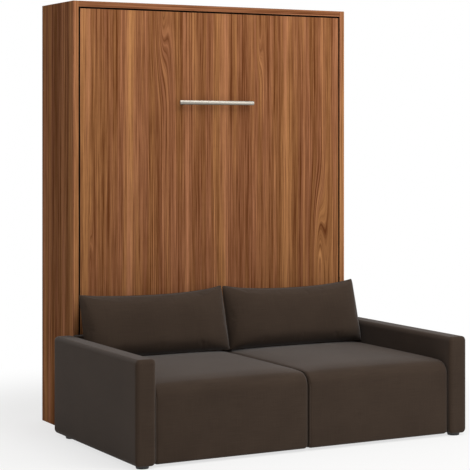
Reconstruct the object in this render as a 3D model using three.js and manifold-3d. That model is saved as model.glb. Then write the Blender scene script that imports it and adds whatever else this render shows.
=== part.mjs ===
// Double wall bed that folds down over a two-seat sofa.
// Millimetres, +Z up, the sofa faces -Y. The pieces are placed from the cabinet's front plane (y = 0)
// and its middle (x = 0), and the whole is then moved so that the origin lies under the middle of its box.
import * as THREE from "three";
import { mergeVertices } from "three/addons/utils/BufferGeometryUtils.js";
import Module from "manifold-3d";

const wasm = await Module();
wasm.setup();

// Driving sizes of the bed. The cabinet is built round it.
const mattressWidth = 1400;
const mattressLength = 1890;
const mattressThickness = 140;
const mattressEdge = 25;
const mattressEndGap = 8;
const slatCount = 12;
const slatWidth = 68;
const slatThickness = 8;

// Driving sizes of the cabinet. The gap round its front has room for the plates that the bed turns on.
const besideMattress = 75;
const boardThickness = 30;
const frontThickness = 22;
const backThickness = 4;
const backInset = 4;
const plateThickness = 5;
const plateRunningGap = 1;
const shadowGap = plateThickness + plateRunningGap;
const frameEndGap = 4;

// The bed frame's rolled section: a hollow box with an upstand
const upstandThickness = 4;
const upstandHeight = 63;
const boxWidth = 42;
const boxHeight = 18;
const boxWall = 2.5;

// Driving sizes of the sofa
const armWidth = 100;
const armHeight = 495;
const armLength = 980;
const sofaBackThickness = 70;
const seatEdgeHeight = 377;
const seatCrown = 18;
const seatSetBack = 15;
const footHeight = 12;

// Driving sizes of the loose back cushions
const cushionHeight = 300;
const cushionThickness = 144;
const cushionLyingGap = 3;
const cushionLean = THREE.MathUtils.degToRad(16);

// Where the bed turns, and the room that it needs as it turns
const bossRadius = 13;
const bossGap = 3;
const pivotBehindFront = frontThickness + bossRadius + bossGap;
const frontBelowPivot = 357;
const foldedGap = 7;
const swingGap = 5.343;

// Clearances
const touchGap = 0.3;
const softGap = 0.5;
const cutOverrun = 5;
const mergeDistance = 0.003;

// How finely round shapes are drawn
const barSides = 24;
const studSides = 16;
const holeSides = 12;
const turnedSides = 20;
const bandSides = 20;
const cornerSegments = 12;

// The pivot's height: the open bed lies just above the arms and above the cushions laid on the seats.
const seatTop = seatEdgeHeight + seatCrown;
const lyingCushionTop = seatTop + cushionLyingGap + cushionThickness;
const pivotHeight = Math.max(armHeight, lyingCushionTop) + foldedGap + pivotBehindFront;

// Widths and heights of the cabinet, from the mattress outwards
const sideInside = mattressWidth / 2 + besideMattress;
const cabinetWidth = 2 * (sideInside + boardThickness);
const frontHalfWidth = sideInside - shadowGap;
const frontBottom = pivotHeight - frontBelowPivot;
const frameBottom = frontBottom + frameEndGap;
const mattressBottom = frameBottom + mattressEndGap;
const mattressTop = mattressBottom + mattressLength;
const frameTop = mattressTop + mattressEndGap;
const frontTop = frameTop + frameEndGap;
const topUnderside = frontTop + shadowGap;
const cabinetHeight = topUnderside + boardThickness;

// The cabinet's depth: the mattress's lowest corner has to swing past the back sheet.
const frameBack = frontThickness + boxHeight;
const mattressFront = frameBack + slatThickness + touchGap;
const mattressBack = mattressFront + mattressThickness;
const cornerBehindPivot = mattressBack - mattressEdge - pivotBehindFront;
const cornerBelowPivot = pivotHeight - mattressBottom - mattressEdge;
const swingReach = Math.hypot(cornerBehindPivot, cornerBelowPivot) + mattressEdge;
const backY = pivotBehindFront + swingReach + swingGap;
const cabinetDepth = backY + backThickness + backInset;

const assembly = new THREE.Group();

// Finishes
function finish(color, roughness, metalness) {
  return { color, roughness, metalness };
}
const walnutBoard = finish(0x94623f, 0.5, 0);
const backSheet = finish(0xd9d2c4, 0.7, 0);
const upholstery = finish(0x3e3530, 0.95, 0);
const satinMetal = finish(0xc9c9c6, 0.3, 1);
const paintedSteel = finish(0x8b8d8f, 0.5, 0.6);
const beech = finish(0xd8b487, 0.55, 0);
const ticking = finish(0xece9e2, 0.95, 0);
const webbing = finish(0x2a2a2c, 0.9, 0);
const blackPlastic = finish(0x161616, 0.6, 0);
const blackTube = finish(0x1c1d1f, 0.35, 0.3);
const chromedRod = finish(0xdadcde, 0.12, 1);

// Adds a piece to the assembly under its own name. A mirrored piece is the same shape on the other side.
function addPiece(name, geometry, look, mirrored = false) {
  const mesh = new THREE.Mesh(geometry, new THREE.MeshStandardMaterial(look));
  mesh.name = name;
  if (mirrored) {
    mesh.scale.x = -1;
  }
  assembly.add(mesh);
  return mesh;
}

// Adds a piece on the right and its mirror image on the left.
function addPair(name, geometry, look) {
  addPiece(name + "_right", geometry, look);
  addPiece(name + "_left", geometry, look, true);
}

function toSolid(geometry) {
  const bare = geometry.index ? geometry.toNonIndexed() : geometry.clone();
  bare.deleteAttribute("normal");
  bare.deleteAttribute("uv");
  const merged = mergeVertices(bare, mergeDistance);
  return new wasm.Manifold(
    new wasm.Mesh({
      numProp: 3,
      vertProperties: merged.attributes.position.array,
      triVerts: new Uint32Array(merged.index.array),
    })
  );
}

function toGeometry(solid) {
  const mesh = solid.getMesh();
  const geometry = new THREE.BufferGeometry();
  geometry.setAttribute("position", new THREE.BufferAttribute(new Float32Array(mesh.vertProperties), 3));
  geometry.setIndex(new THREE.BufferAttribute(new Uint32Array(mesh.triVerts), 1));
  return geometry;
}

// Joins geometries into one, then cuts others out of it.
function joinAndCut(joined, cut = []) {
  let solid = toSolid(joined[0]);
  for (const geometry of joined.slice(1)) {
    solid = solid.add(toSolid(geometry));
  }
  for (const geometry of cut) {
    solid = solid.subtract(toSolid(geometry));
  }
  return toGeometry(solid);
}

// A block between two corners.
function block(x0, x1, y0, y1, z0, z1) {
  const geometry = new THREE.BoxGeometry(x1 - x0, y1 - y0, z1 - z0);
  geometry.translate((x0 + x1) / 2, (y0 + y1) / 2, (z0 + z1) / 2);
  return geometry;
}

// A round bar along X.
function barX(x0, x1, y, z, radius, sides = barSides) {
  const geometry = new THREE.CylinderGeometry(radius, radius, x1 - x0, sides);
  geometry.rotateZ(Math.PI / 2);
  geometry.translate((x0 + x1) / 2, y, z);
  return geometry;
}

// A round bar along Y.
function barY(y0, y1, x, z, radius, sides = barSides) {
  const geometry = new THREE.CylinderGeometry(radius, radius, y1 - y0, sides);
  geometry.translate(x, (y0 + y1) / 2, z);
  return geometry;
}

// A flat plate across X, from x0 to x1, with its outline drawn in y and z.
function plateX(shape, x0, x1) {
  const settings = { depth: x1 - x0, bevelEnabled: false, curveSegments: cornerSegments };
  const geometry = new THREE.ExtrudeGeometry(shape, settings);
  const alongX = new THREE.Matrix4().makeBasis(
    new THREE.Vector3(0, 1, 0),
    new THREE.Vector3(0, 0, 1),
    new THREE.Vector3(1, 0, 0)
  );
  geometry.applyMatrix4(alongX);
  geometry.translate(x0, 0, 0);
  return geometry;
}

// The outline that a band stretched round circles [y, z, radius] would take.
function bandRound(circles) {
  const points = [];
  for (const [y, z, radius] of circles) {
    for (let i = 0; i < bandSides; i += 1) {
      const turn = (i / bandSides) * 2 * Math.PI;
      points.push(new THREE.Vector2(y + radius * Math.cos(turn), z + radius * Math.sin(turn)));
    }
  }
  points.sort((a, b) => a.x - b.x || a.y - b.y);
  const turnsLeft = (a, b, c) => (b.x - a.x) * (c.y - a.y) - (b.y - a.y) * (c.x - a.x) > 0;
  const halfHull = (list) => {
    const kept = [];
    for (const point of list) {
      while (kept.length > 1 && !turnsLeft(kept.at(-2), kept.at(-1), point)) {
        kept.pop();
      }
      kept.push(point);
    }
    kept.pop();
    return kept;
  };
  return new THREE.Shape([...halfHull(points), ...halfHull(points.reverse())]);
}

// A closed skin over rings of points. The rings follow one another along +X, and each runs
// anticlockwise as seen from +X. Both ends are closed by a fan round the ring's middle.
function skinOver(rings) {
  const count = rings[0].length;
  const positions = [];
  const put = (...points) => points.forEach((p) => positions.push(p.x, p.y, p.z));
  for (let i = 0; i + 1 < rings.length; i += 1) {
    for (let j = 0; j < count; j += 1) {
      const next = (j + 1) % count;
      put(rings[i][j], rings[i][next], rings[i + 1][next]);
      put(rings[i][j], rings[i + 1][next], rings[i + 1][j]);
    }
  }
  const middleOf = (ring) =>
    ring.reduce((sum, p) => sum.add(p), new THREE.Vector3()).divideScalar(count);
  const first = rings[0];
  const last = rings.at(-1);
  const firstMiddle = middleOf(first);
  const lastMiddle = middleOf(last);
  for (let j = 0; j < count; j += 1) {
    const next = (j + 1) % count;
    put(firstMiddle, first[next], first[j]);
    put(lastMiddle, last[j], last[next]);
  }
  const geometry = new THREE.BufferGeometry();
  geometry.setAttribute("position", new THREE.BufferAttribute(new Float32Array(positions), 3));
  return geometry;
}

// How far a rounded edge of this radius has drawn in at a distance from the face.
function drawnIn(distance, radius) {
  const missing = Math.max(radius - distance, 0);
  return radius - Math.sqrt(Math.max(radius * radius - missing * missing, 0));
}

// A crown falls off towards the edges by this power.
const crownPower = 4;
// A padded block: rounded edges, a crown on top and a swelling on the front.
// size gives the box x0..z1. round gives the radius of the edges at its two x ends, for the top edge
// and for the others, and corner gives those of its y-z section, in order from the front bottom.
function paddedBlock(size, round, corner, crown = 0, swell = 0) {
  const crowned = crown > 0 || swell > 0;
  const flatStations = crowned ? 9 : 2;
  const topSteps = crowned ? 10 : 1;
  const frontSteps = crowned ? 5 : 1;
  const edgeStations = 4;
  const arcSteps = crowned ? 5 : 4;
  const reach = Math.max(round.top, round.side);
  const stations = [];
  for (let i = 0; i <= edgeStations; i += 1) {
    stations.push(reach * (1 - Math.cos((i / edgeStations) * (Math.PI / 2))));
  }
  const width = size.x1 - size.x0;
  const inner = width - 2 * reach;
  const distances = [...stations];
  for (let i = 1; i < flatStations; i += 1) {
    distances.push(reach + (inner * i) / flatStations);
  }
  distances.push(...stations.map((d) => width - d).reverse());
  const rings = distances.map((distance) => {
    const fromFace = Math.min(distance, width - distance);
    const side = drawnIn(fromFace, round.side);
    const top = drawnIn(fromFace, round.top);
    const y0 = size.y0 + side;
    const y1 = size.y1 - side;
    const z0 = size.z0 + side;
    const z1 = size.z1 - top;
    const across = 1 - Math.pow(Math.abs((2 * distance) / width - 1), crownPower);
    const [lowFront, lowBack, highBack, highFront] = corner;
    const outline = [];
    const arc = (cy, cz, radius, from) => {
      for (let k = 0; k <= arcSteps; k += 1) {
        const turn = from + (k / arcSteps) * (Math.PI / 2);
        outline.push([cy + radius * Math.cos(turn), cz + radius * Math.sin(turn)]);
      }
    };
    const line = (steps) => {
      const [startY, startZ] = outline.at(-1);
      outline.push({ startY, startZ, steps });
    };
    arc(y0 + lowFront, z0 + lowFront, lowFront, Math.PI);
    arc(y1 - lowBack, z0 + lowBack, lowBack, 1.5 * Math.PI);
    arc(y1 - highBack, z1 - highBack, highBack, 0);
    line(topSteps);
    arc(y0 + highFront, z1 - highFront, highFront, 0.5 * Math.PI);
    line(frontSteps);
    const points = [];
    outline.forEach((entry, index) => {
      if (Array.isArray(entry)) {
        points.push(entry);
        return;
      }
      const [endY, endZ] = outline[(index + 1) % outline.length];
      for (let k = 1; k < entry.steps; k += 1) {
        const part = k / entry.steps;
        points.push([
          entry.startY + (endY - entry.startY) * part,
          entry.startZ + (endZ - entry.startZ) * part,
        ]);
      }
    });
    const depth = size.y1 - size.y0;
    const height = size.z1 - size.z0;
    return points.map(([y, z]) => {
      const along = 1 - Math.pow(Math.abs((2 * (y - size.y0)) / depth - 1), crownPower);
      const up = Math.max((2 * (z - size.z0)) / height - 1, 0);
      const front = Math.max(1 - (2 * (y - size.y0)) / depth, 0);
      const level = 1 - Math.pow((2 * (z - size.z0)) / height - 1, 2);
      return new THREE.Vector3(
        size.x0 + distance,
        y - swell * across * front * Math.max(level, 0),
        z + crown * across * Math.max(along, 0) * up
      );
    });
  });
  return skinOver(rings);
}

// Cabinet: veneered boards, with the top between the sides
const sidePanel = block(sideInside, cabinetWidth / 2, 0, cabinetDepth, 0, cabinetHeight);
addPair("side_panel", sidePanel, walnutBoard);
const topBoard = block(-sideInside, sideInside, 0, cabinetDepth, topUnderside, cabinetHeight);
addPiece("top_panel", topBoard, walnutBoard);

// Cabinet: back sheet and the rails that are screwed to the wall
const basePanelHeight = 30;
const baseTop = basePanelHeight + boardThickness;
const railThickness = 20;
const railHeight = 100;
const middleRailHeight = 900;
const railY = backY - railThickness;
const baseBoard = block(-sideInside, sideInside, frontThickness, backY, basePanelHeight, baseTop);
addPiece("base_panel", baseBoard, walnutBoard);
const sheet = block(-sideInside, sideInside, backY, backY + backThickness, baseTop, topUnderside);
addPiece("back_panel", sheet, backSheet);
const backRails = [
  ["lower_back_rail", baseTop],
  ["middle_back_rail", middleRailHeight],
  ["upper_back_rail", topUnderside - railHeight],
];
for (const [name, bottom] of backRails) {
  addPiece(name, block(-sideInside, sideInside, railY, backY, bottom, bottom + railHeight), walnutBoard);
}

// Cabinet: steel angles that tie the top to the upper rail, and so to the wall
const angleThickness = 3;
const angleLeg = 50;
const angleWidth = 60;
const angleFromSide = 255;
const anglePlace = sideInside - angleFromSide;
const screwRadius = 3;
const angleX0 = anglePlace - angleWidth / 2;
const angleX1 = anglePlace + angleWidth / 2;
const angleFootBottom = topUnderside - angleThickness;
const angleBackBottom = topUnderside - angleLeg;
const angleFoot = block(angleX0, angleX1, railY - angleLeg, railY, angleFootBottom, topUnderside);
const angleBack = block(angleX0, angleX1, railY - angleThickness, railY, angleBackBottom, topUnderside);
const angleHoles = [-1, 1].map((side) =>
  barY(
    railY - angleThickness - cutOverrun,
    railY + cutOverrun,
    anglePlace + (side * angleWidth) / 4,
    topUnderside - angleLeg / 2 - angleThickness,
    screwRadius,
    holeSides
  )
);
addPair("wall_angle", joinAndCut([angleFoot, angleBack], angleHoles), paintedSteel);

// Folding front: its lower end swings back past the fixed panel below it
const lowerPanelGap = 4;
addPiece(
  "lower_front_panel",
  block(-sideInside, sideInside, 0, frontThickness, 0, frontBottom - lowerPanelGap),
  walnutBoard
);
addPiece(
  "front_panel",
  block(-frontHalfWidth, frontHalfWidth, 0, frontThickness, frontBottom, frontTop),
  walnutBoard
);

// Handle: a straight bar on two round posts
const handleLength = 440;
const handleHeight = 1670;
const handleBarDepth = 10;
const handleBarHeight = 22;
const handleStandOff = 26;
const handleEdge = 3;
const handlePostRadius = 6;
const handlePostInset = 28;
function roundedRectangle(halfWidth, halfHeight, radius) {
  const shape = new THREE.Shape();
  shape.absarc(halfWidth - radius, halfHeight - radius, radius, 0, Math.PI / 2);
  shape.absarc(-halfWidth + radius, halfHeight - radius, radius, Math.PI / 2, Math.PI);
  shape.absarc(-halfWidth + radius, -halfHeight + radius, radius, Math.PI, 1.5 * Math.PI);
  shape.absarc(halfWidth - radius, -halfHeight + radius, radius, 1.5 * Math.PI, 2 * Math.PI);
  return shape;
}
const handleBar = plateX(
  roundedRectangle(handleBarDepth / 2, handleBarHeight / 2, handleEdge),
  -handleLength / 2,
  handleLength / 2
);
handleBar.translate(0, -handleStandOff - handleBarDepth / 2, handleHeight);
const handlePosts = [-1, 1].map((side) =>
  barY(
    -handleStandOff - handleBarDepth / 2,
    0,
    side * (handleLength / 2 - handlePostInset),
    handleHeight,
    handlePostRadius
  )
);
addPiece("handle", joinAndCut([handleBar, ...handlePosts]), satinMetal);

// Bed frame: one rolled steel section, a hollow box with an upstand that holds the mattress
const strapThickness = 1.4;
const frameClearance = strapThickness + 2 * touchGap;
const frameHalfWidth = mattressWidth / 2 + frameClearance + upstandThickness;
function railSection() {
  const section = new THREE.Shape([
    new THREE.Vector2(0, 0),
    new THREE.Vector2(boxWidth, 0),
    new THREE.Vector2(boxWidth, boxHeight),
    new THREE.Vector2(upstandThickness, boxHeight),
    new THREE.Vector2(upstandThickness, upstandHeight),
    new THREE.Vector2(0, upstandHeight),
  ]);
  section.holes.push(
    new THREE.Path([
      new THREE.Vector2(boxWall, boxWall),
      new THREE.Vector2(boxWall, boxHeight - boxWall),
      new THREE.Vector2(boxWidth - boxWall, boxHeight - boxWall),
      new THREE.Vector2(boxWidth - boxWall, boxWall),
    ])
  );
  return section;
}
// The section's first direction points to the bed's middle, its second from the front to the mattress.
function railAlong(inwards, along, length, start) {
  const geometry = new THREE.ExtrudeGeometry(railSection(), { depth: length, bevelEnabled: false });
  geometry.applyMatrix4(new THREE.Matrix4().makeBasis(inwards, new THREE.Vector3(0, 1, 0), along));
  geometry.translate(start.x, start.y, start.z);
  return geometry;
}
const alongX = new THREE.Vector3(1, 0, 0);
const alongZ = new THREE.Vector3(0, 0, 1);
addPiece(
  "frame_rail_left",
  railAlong(
    alongX,
    alongZ,
    frameTop - frameBottom,
    new THREE.Vector3(-frameHalfWidth, frontThickness, frameBottom)
  ),
  paintedSteel
);
addPiece(
  "frame_rail_right",
  railAlong(
    alongX.clone().negate(),
    alongZ.clone().negate(),
    frameTop - frameBottom,
    new THREE.Vector3(frameHalfWidth, frontThickness, frameTop)
  ),
  paintedSteel
);
const crossHalf = frameHalfWidth - boxWidth;
addPiece(
  "frame_rail_head",
  railAlong(
    alongZ,
    alongX.clone().negate(),
    2 * crossHalf,
    new THREE.Vector3(crossHalf, frontThickness, frameBottom)
  ),
  paintedSteel
);
addPiece(
  "frame_rail_foot",
  railAlong(
    alongZ.clone().negate(),
    alongX,
    2 * crossHalf,
    new THREE.Vector3(-crossHalf, frontThickness, frameTop)
  ),
  paintedSteel
);
const centreRailWidth = 30;
const slatZoneBottom = frameBottom + boxWidth;
const slatZoneTop = frameTop - boxWidth;
addPiece(
  "frame_rail_centre",
  block(-centreRailWidth / 2, centreRailWidth / 2, frontThickness, frameBack, slatZoneBottom, slatZoneTop),
  paintedSteel
);

// Slats: they lie on the side rails and the centre rail
const slatHalfLength = frameHalfWidth - upstandThickness - softGap;
const slatPitch = (slatZoneTop - slatZoneBottom) / slatCount;
for (let i = 0; i < slatCount; i += 1) {
  const middle = slatZoneBottom + (i + 0.5) * slatPitch;
  addPiece(
    "slat_" + String(i + 1).padStart(2, "0"),
    block(
      -slatHalfLength,
      slatHalfLength,
      frameBack,
      frameBack + slatThickness,
      middle - slatWidth / 2,
      middle + slatWidth / 2
    ),
    beech
  );
}

// Mattress, and the straps that hold it while the bed stands upright
addPiece(
  "mattress",
  paddedBlock(
    {
      x0: -mattressWidth / 2,
      x1: mattressWidth / 2,
      y0: mattressFront,
      y1: mattressBack,
      z0: mattressBottom,
      z1: mattressTop,
    },
    { top: mattressEdge, side: mattressEdge },
    [mattressEdge, mattressEdge, mattressEdge, mattressEdge]
  ),
  ticking
);
const strapWidth = 40;
const strapHold = 30;
const strapPlaceShares = [0.26, 0.74];
const strapInside = mattressWidth / 2 + touchGap;
strapPlaceShares.forEach((share, index) => {
  const z0 = frameBottom + share * (frameTop - frameBottom) - strapWidth / 2;
  const z1 = z0 + strapWidth;
  const strapOutside = strapInside + strapThickness;
  const strapBack = mattressBack + touchGap + strapThickness;
  const strapFoot = frontThickness + upstandHeight - strapHold;
  const outer = block(-strapOutside, strapOutside, strapFoot, strapBack, z0, z1);
  const inner = block(
    -strapInside,
    strapInside,
    strapFoot - cutOverrun,
    strapBack - strapThickness,
    z0 - cutOverrun,
    z1 + cutOverrun
  );
  addPiece("mattress_strap_" + (index + 1), joinAndCut([outer], [inner]), webbing);
});

// Turning fittings. The cabinet's plate carries the pivot pin and the upper stud of the gas spring.
const pinRadius = 7;
const studRadius = 4;
const pinClearance = 0.4;
const springFromSide = 20;
const springPlaneX = sideInside - springFromSide;
const springTopBehindPivot = 170;
const springTopAbovePivot = 530;
const springEyeHalfWidth = 6;
const plateEdge = 22;
const plateDepth = 75;
const plateBelowPivot = 85;
const plateAbovePivot = 95;
const screwHoleRadius = 3.5;
const pivotY = pivotBehindFront;
const springTopY = pivotY + springTopBehindPivot;
const springTopZ = pivotHeight + springTopAbovePivot;
const plateX0 = sideInside - plateThickness;
const pinEndGap = 8;
const pinX0 = frameHalfWidth + pinEndGap;
const plateMiddleX = plateX0 + plateThickness / 2;
const cabinetPlateOutline = bandRound([
  [pivotY, pivotHeight - plateBelowPivot, plateEdge],
  [pivotY + plateDepth, pivotHeight - plateBelowPivot, plateEdge],
  [pivotY, pivotHeight + plateAbovePivot, plateEdge],
  [pivotY + plateDepth, pivotHeight + plateAbovePivot, plateEdge],
  [springTopY, springTopZ, plateEdge],
]);
const cabinetPlateScrews = [
  [pivotY, pivotHeight - plateBelowPivot],
  [pivotY + plateDepth, pivotHeight - plateBelowPivot],
  [pivotY + plateDepth, pivotHeight + plateAbovePivot],
  [pivotY, pivotHeight + plateAbovePivot],
].map(([y, z]) => barX(plateX0 - cutOverrun, sideInside + cutOverrun, y, z, screwHoleRadius, holeSides));
const slotRadius = 10;
const slotAboveScrews = 44;
const slotEndShare = 0.3;
const lighteningSlot = plateX(
  bandRound([
    [pivotY + plateDepth / 2, pivotHeight + plateAbovePivot + slotAboveScrews, slotRadius],
    [
      springTopY - springTopBehindPivot * slotEndShare,
      springTopZ - springTopAbovePivot * slotEndShare,
      slotRadius,
    ],
  ]),
  plateX0 - cutOverrun,
  sideInside + cutOverrun
);
addPair(
  "hinge_plate",
  joinAndCut(
    [
      plateX(cabinetPlateOutline, plateX0, sideInside),
      barX(pinX0, plateMiddleX, pivotY, pivotHeight, pinRadius),
      barX(springPlaneX - springEyeHalfWidth, plateMiddleX, springTopY, springTopZ, studRadius, studSides),
    ],
    [...cabinetPlateScrews, lighteningSlot]
  ),
  paintedSteel
);

// The bed's bracket turns on the pin and carries the lower stud of the gas spring.
const springFootBehindPivot = 20;
const springFootBelowPivot = 250;
const bracketEdge = 26;
const bossLength = 30;
const springFootY = pivotY + springFootBehindPivot;
const springFootZ = pivotHeight - springFootBelowPivot;
const bracketX0 = frameHalfWidth;
const bracketX1 = bracketX0 + plateThickness;
const bracketMiddleY = frontThickness + upstandHeight / 2;
const bracketOutline = bandRound([
  [bracketMiddleY, pivotHeight + plateAbovePivot, bracketEdge],
  [bracketMiddleY, springFootZ, bracketEdge],
  [bracketMiddleY + bracketEdge, pivotHeight, bracketEdge],
]);
const bracketScrewY = bracketMiddleY + bracketEdge / 2;
const bracketScrews = [pivotHeight + plateAbovePivot, pivotHeight - springFootBelowPivot / 2].map((z) =>
  barX(bracketX0 - cutOverrun, bracketX1 + cutOverrun, bracketScrewY, z, screwHoleRadius, holeSides)
);
const springStudX0 = springPlaneX - springEyeHalfWidth - softGap;
const pinSocket = barX(
  pinX0 - softGap,
  bracketX1 + bossLength + cutOverrun,
  pivotY,
  pivotHeight,
  pinRadius + pinClearance
);
addPair(
  "bed_bracket",
  joinAndCut(
    [
      plateX(bracketOutline, bracketX0, bracketX1),
      barX(bracketX0, bracketX1 + bossLength, pivotY, pivotHeight, bossRadius),
      barX(bracketX0, springStudX0, springFootY, springFootZ, studRadius, studSides),
    ],
    [...bracketScrews, pinSocket]
  ),
  paintedSteel
);

// Gas springs. Each hangs from the cabinet's stud, and its rod ends beside the bed's stud.
const springTubeRadius = 11;
const springTubeWall = 2;
const springTubeLength = 430;
const springEyeRadius = 9;
const springNeck = 16;
const springNeckRadius = 6;
const springGuideLength = 16;
const rodRadius = 5;
const rodClearance = 0.4;
const pistonLength = 12;
const pistonGap = 14;
const springLength = Math.hypot(springTopY - springFootY, springTopZ - springFootZ);
const springTilt = Math.atan2(springFootY - springTopY, springTopZ - springFootZ);
// A turned shape from [radius, distance below the eye] pairs, listed from the top.
function turnedBelow(profile) {
  const points = profile.map(([radius, below]) => new THREE.Vector2(radius, -below)).reverse();
  const geometry = new THREE.LatheGeometry(points, turnedSides);
  geometry.rotateX(Math.PI / 2);
  return geometry;
}
function intoPlace(geometry) {
  geometry.rotateX(springTilt);
  geometry.translate(springPlaneX, springTopY, springTopZ);
  return geometry;
}
const tubeInnerRadius = springTubeRadius - springTubeWall;
const tubeBody = turnedBelow([
  [0, springNeck],
  [springTubeRadius, springNeck],
  [springTubeRadius, springTubeLength],
  [rodRadius + rodClearance, springTubeLength],
  [rodRadius + rodClearance, springTubeLength - springGuideLength],
  [tubeInnerRadius, springTubeLength - springGuideLength],
  [tubeInnerRadius, springNeck + springTubeWall],
  [0, springNeck + springTubeWall],
]);
const neckOverlap = springTubeWall / 2;
const upperEyeHole = barX(
  -springEyeHalfWidth - cutOverrun,
  springEyeHalfWidth + cutOverrun,
  0,
  0,
  studRadius + pinClearance,
  studSides
);
const springTube = joinAndCut(
  [
    barX(-springEyeHalfWidth, springEyeHalfWidth, 0, 0, springEyeRadius),
    turnedBelow([
      [0, 0],
      [springNeckRadius, 0],
      [springNeckRadius, springNeck + neckOverlap],
      [0, springNeck + neckOverlap],
    ]),
    tubeBody,
  ],
  [upperEyeHole]
);
addPair("spring_tube", intoPlace(springTube), blackTube);
const rodTop = springTubeLength - springGuideLength - pistonGap - pistonLength;
const rodBody = turnedBelow([
  [0, rodTop],
  [tubeInnerRadius - rodClearance, rodTop],
  [tubeInnerRadius - rodClearance, rodTop + pistonLength],
  [rodRadius, rodTop + pistonLength],
  [rodRadius, springLength],
  [0, springLength],
]);
const rodEye = barX(-springEyeHalfWidth, springEyeHalfWidth, 0, -springLength, springEyeRadius);
const rodEyeHole = upperEyeHole.clone().translate(0, 0, -springLength);
addPair("spring_rod", intoPlace(joinAndCut([rodBody, rodEye], [rodEyeHole])), chromedRod);

// Legs. Stored, they point to the head of the bed; they swing over its foot end to the floor.
const legThickness = 22;
const legWidth = 22;
const legBesideFrame = 33;
const legPlaneX = frameHalfWidth + legBesideFrame;
const legFrontGap = 3;
const legClearance = 4;
const legHingeBelowFrameTop = 15;
const legEyeRadius = 13;
const legPinRadius = 5;
const legPinHeadRadius = 9;
const legPinHead = 3;
const legGlideHeight = 10;
const legGlideLip = 2;
const floorGap = 0.5;
const legHingeZ = frameTop - legHingeBelowFrameTop;
const legLineY = frontThickness + legFrontGap + legThickness / 2;
const legCrank = frontTop - legHingeZ + legThickness / 2 + legClearance;
const legHingeY = legLineY + legCrank;
const legReach = pivotHeight + (legHingeY - pivotY) - floorGap;
const legX0 = legPlaneX - legWidth / 2;
const legX1 = legPlaneX + legWidth / 2;
const legEnd = legHingeZ - legReach;
const legNeck = plateX(
  bandRound([
    [legHingeY, legHingeZ, legEyeRadius],
    [legLineY, legHingeZ - legCrank, legThickness / 2],
  ]),
  legX0,
  legX1
);
const legTube = block(
  legX0,
  legX1,
  legLineY - legThickness / 2,
  legLineY + legThickness / 2,
  legEnd + legGlideHeight,
  legHingeZ - legCrank
);
const legHole = barX(
  legX0 - cutOverrun,
  legX1 + cutOverrun,
  legHingeY,
  legHingeZ,
  legPinRadius + pinClearance,
  studSides
);
addPair("leg", joinAndCut([legNeck, legTube], [legHole]), paintedSteel);
addPair(
  "leg_glide",
  block(
    legX0 - legGlideLip,
    legX1 + legGlideLip,
    legLineY - legThickness / 2 - legGlideLip,
    legLineY + legThickness / 2 + legGlideLip,
    legEnd,
    legEnd + legGlideHeight
  ),
  blackPlastic
);
addPair(
  "leg_pin",
  joinAndCut([
    barX(frameHalfWidth, legX1 + softGap + legPinHead / 2, legHingeY, legHingeZ, legPinRadius, studSides),
    barX(legX1 + softGap, legX1 + softGap + legPinHead, legHingeY, legHingeZ, legPinHeadRadius, studSides),
  ]),
  paintedSteel
);

// Sofa: two upholstered seats between two arms, with a low back behind the cushions
const sofaBackY = -touchGap;
const armOutsideCabinet = 5;
const sofaInside = cabinetWidth / 2 + armOutsideCabinet;
const seatFront = -armLength + seatSetBack;
const sofaBackFront = sofaBackY - sofaBackThickness;
const armTopEdge = 24;
const armSideEdge = 9;
const armCorner = 14;
const armRearCorner = 26;
addPair(
  "arm",
  paddedBlock(
    {
      x0: sofaInside,
      x1: sofaInside + armWidth,
      y0: -armLength,
      y1: sofaBackY,
      z0: footHeight,
      z1: armHeight,
    },
    { top: armTopEdge, side: armSideEdge },
    [armCorner, armRearCorner, armCorner, armCorner]
  ),
  upholstery
);
const seatFrontRound = 70;
const seatBackRound = 24;
const seatSideEdge = 14;
const seatBottomCorner = 8;
const seatSwell = 7;
const seatWidth = sofaInside - 2 * softGap;
addPair(
  "seat",
  paddedBlock(
    {
      x0: softGap,
      x1: softGap + seatWidth,
      y0: seatFront + seatSwell,
      y1: sofaBackFront - softGap,
      z0: footHeight,
      z1: seatEdgeHeight,
    },
    { top: seatSideEdge, side: seatSideEdge },
    [seatBottomCorner, seatBottomCorner, seatBackRound, seatFrontRound],
    seatCrown,
    seatSwell
  ),
  upholstery
);
const sofaBackLift = 60;
const sofaBackRound = 20;
addPiece(
  "sofa_back",
  paddedBlock(
    {
      x0: -sofaInside + softGap,
      x1: sofaInside - softGap,
      y0: sofaBackFront,
      y1: sofaBackY,
      z0: sofaBackLift,
      z1: armHeight,
    },
    { top: armSideEdge, side: armSideEdge },
    [armSideEdge, armSideEdge, armSideEdge, sofaBackRound]
  ),
  upholstery
);

// Sofa: low black feet. The arms have theirs close to the front, and the seats' stand further in,
// where both seats rest on them.
const footRadius = 32;
const footTaper = 3;
const armFootInset = 12;
const seatFootInset = 85;
const rearFootInset = 45;
const footPlaces = [
  ["front", -armLength + armFootInset + footRadius, seatFront + seatFootInset + footRadius],
  ["rear", sofaBackFront - rearFootInset, sofaBackFront - rearFootInset],
];
for (const [place, armFootY, seatFootY] of footPlaces) {
  const foot = new THREE.CylinderGeometry(footRadius, footRadius - footTaper, footHeight, turnedSides);
  foot.rotateX(Math.PI / 2);
  const armFoot = foot.clone().translate(sofaInside + armWidth / 2, armFootY, footHeight / 2);
  addPair("arm_foot_" + place, armFoot, blackPlastic);
  addPiece("seat_foot_" + place, foot.clone().translate(0, seatFootY, footHeight / 2), blackPlastic);
}

// Back cushions: knife edges, drawn-in sides, corners that stand out. They lean on the sofa's back,
// and the lowest edge keeps just clear of the seat while the cushion tips over on to it.
const cushionSideGap = 4;
const cushionSeam = 2;
const cushionTopEars = 15;
const cushionBottomEars = 5;
const cushionDrawIn = 9;
const tipAhead = 4;
const cushionWidth = seatWidth - 2 * cushionSideGap;
const cushionMiddleX = softGap + seatWidth / 2;
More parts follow.
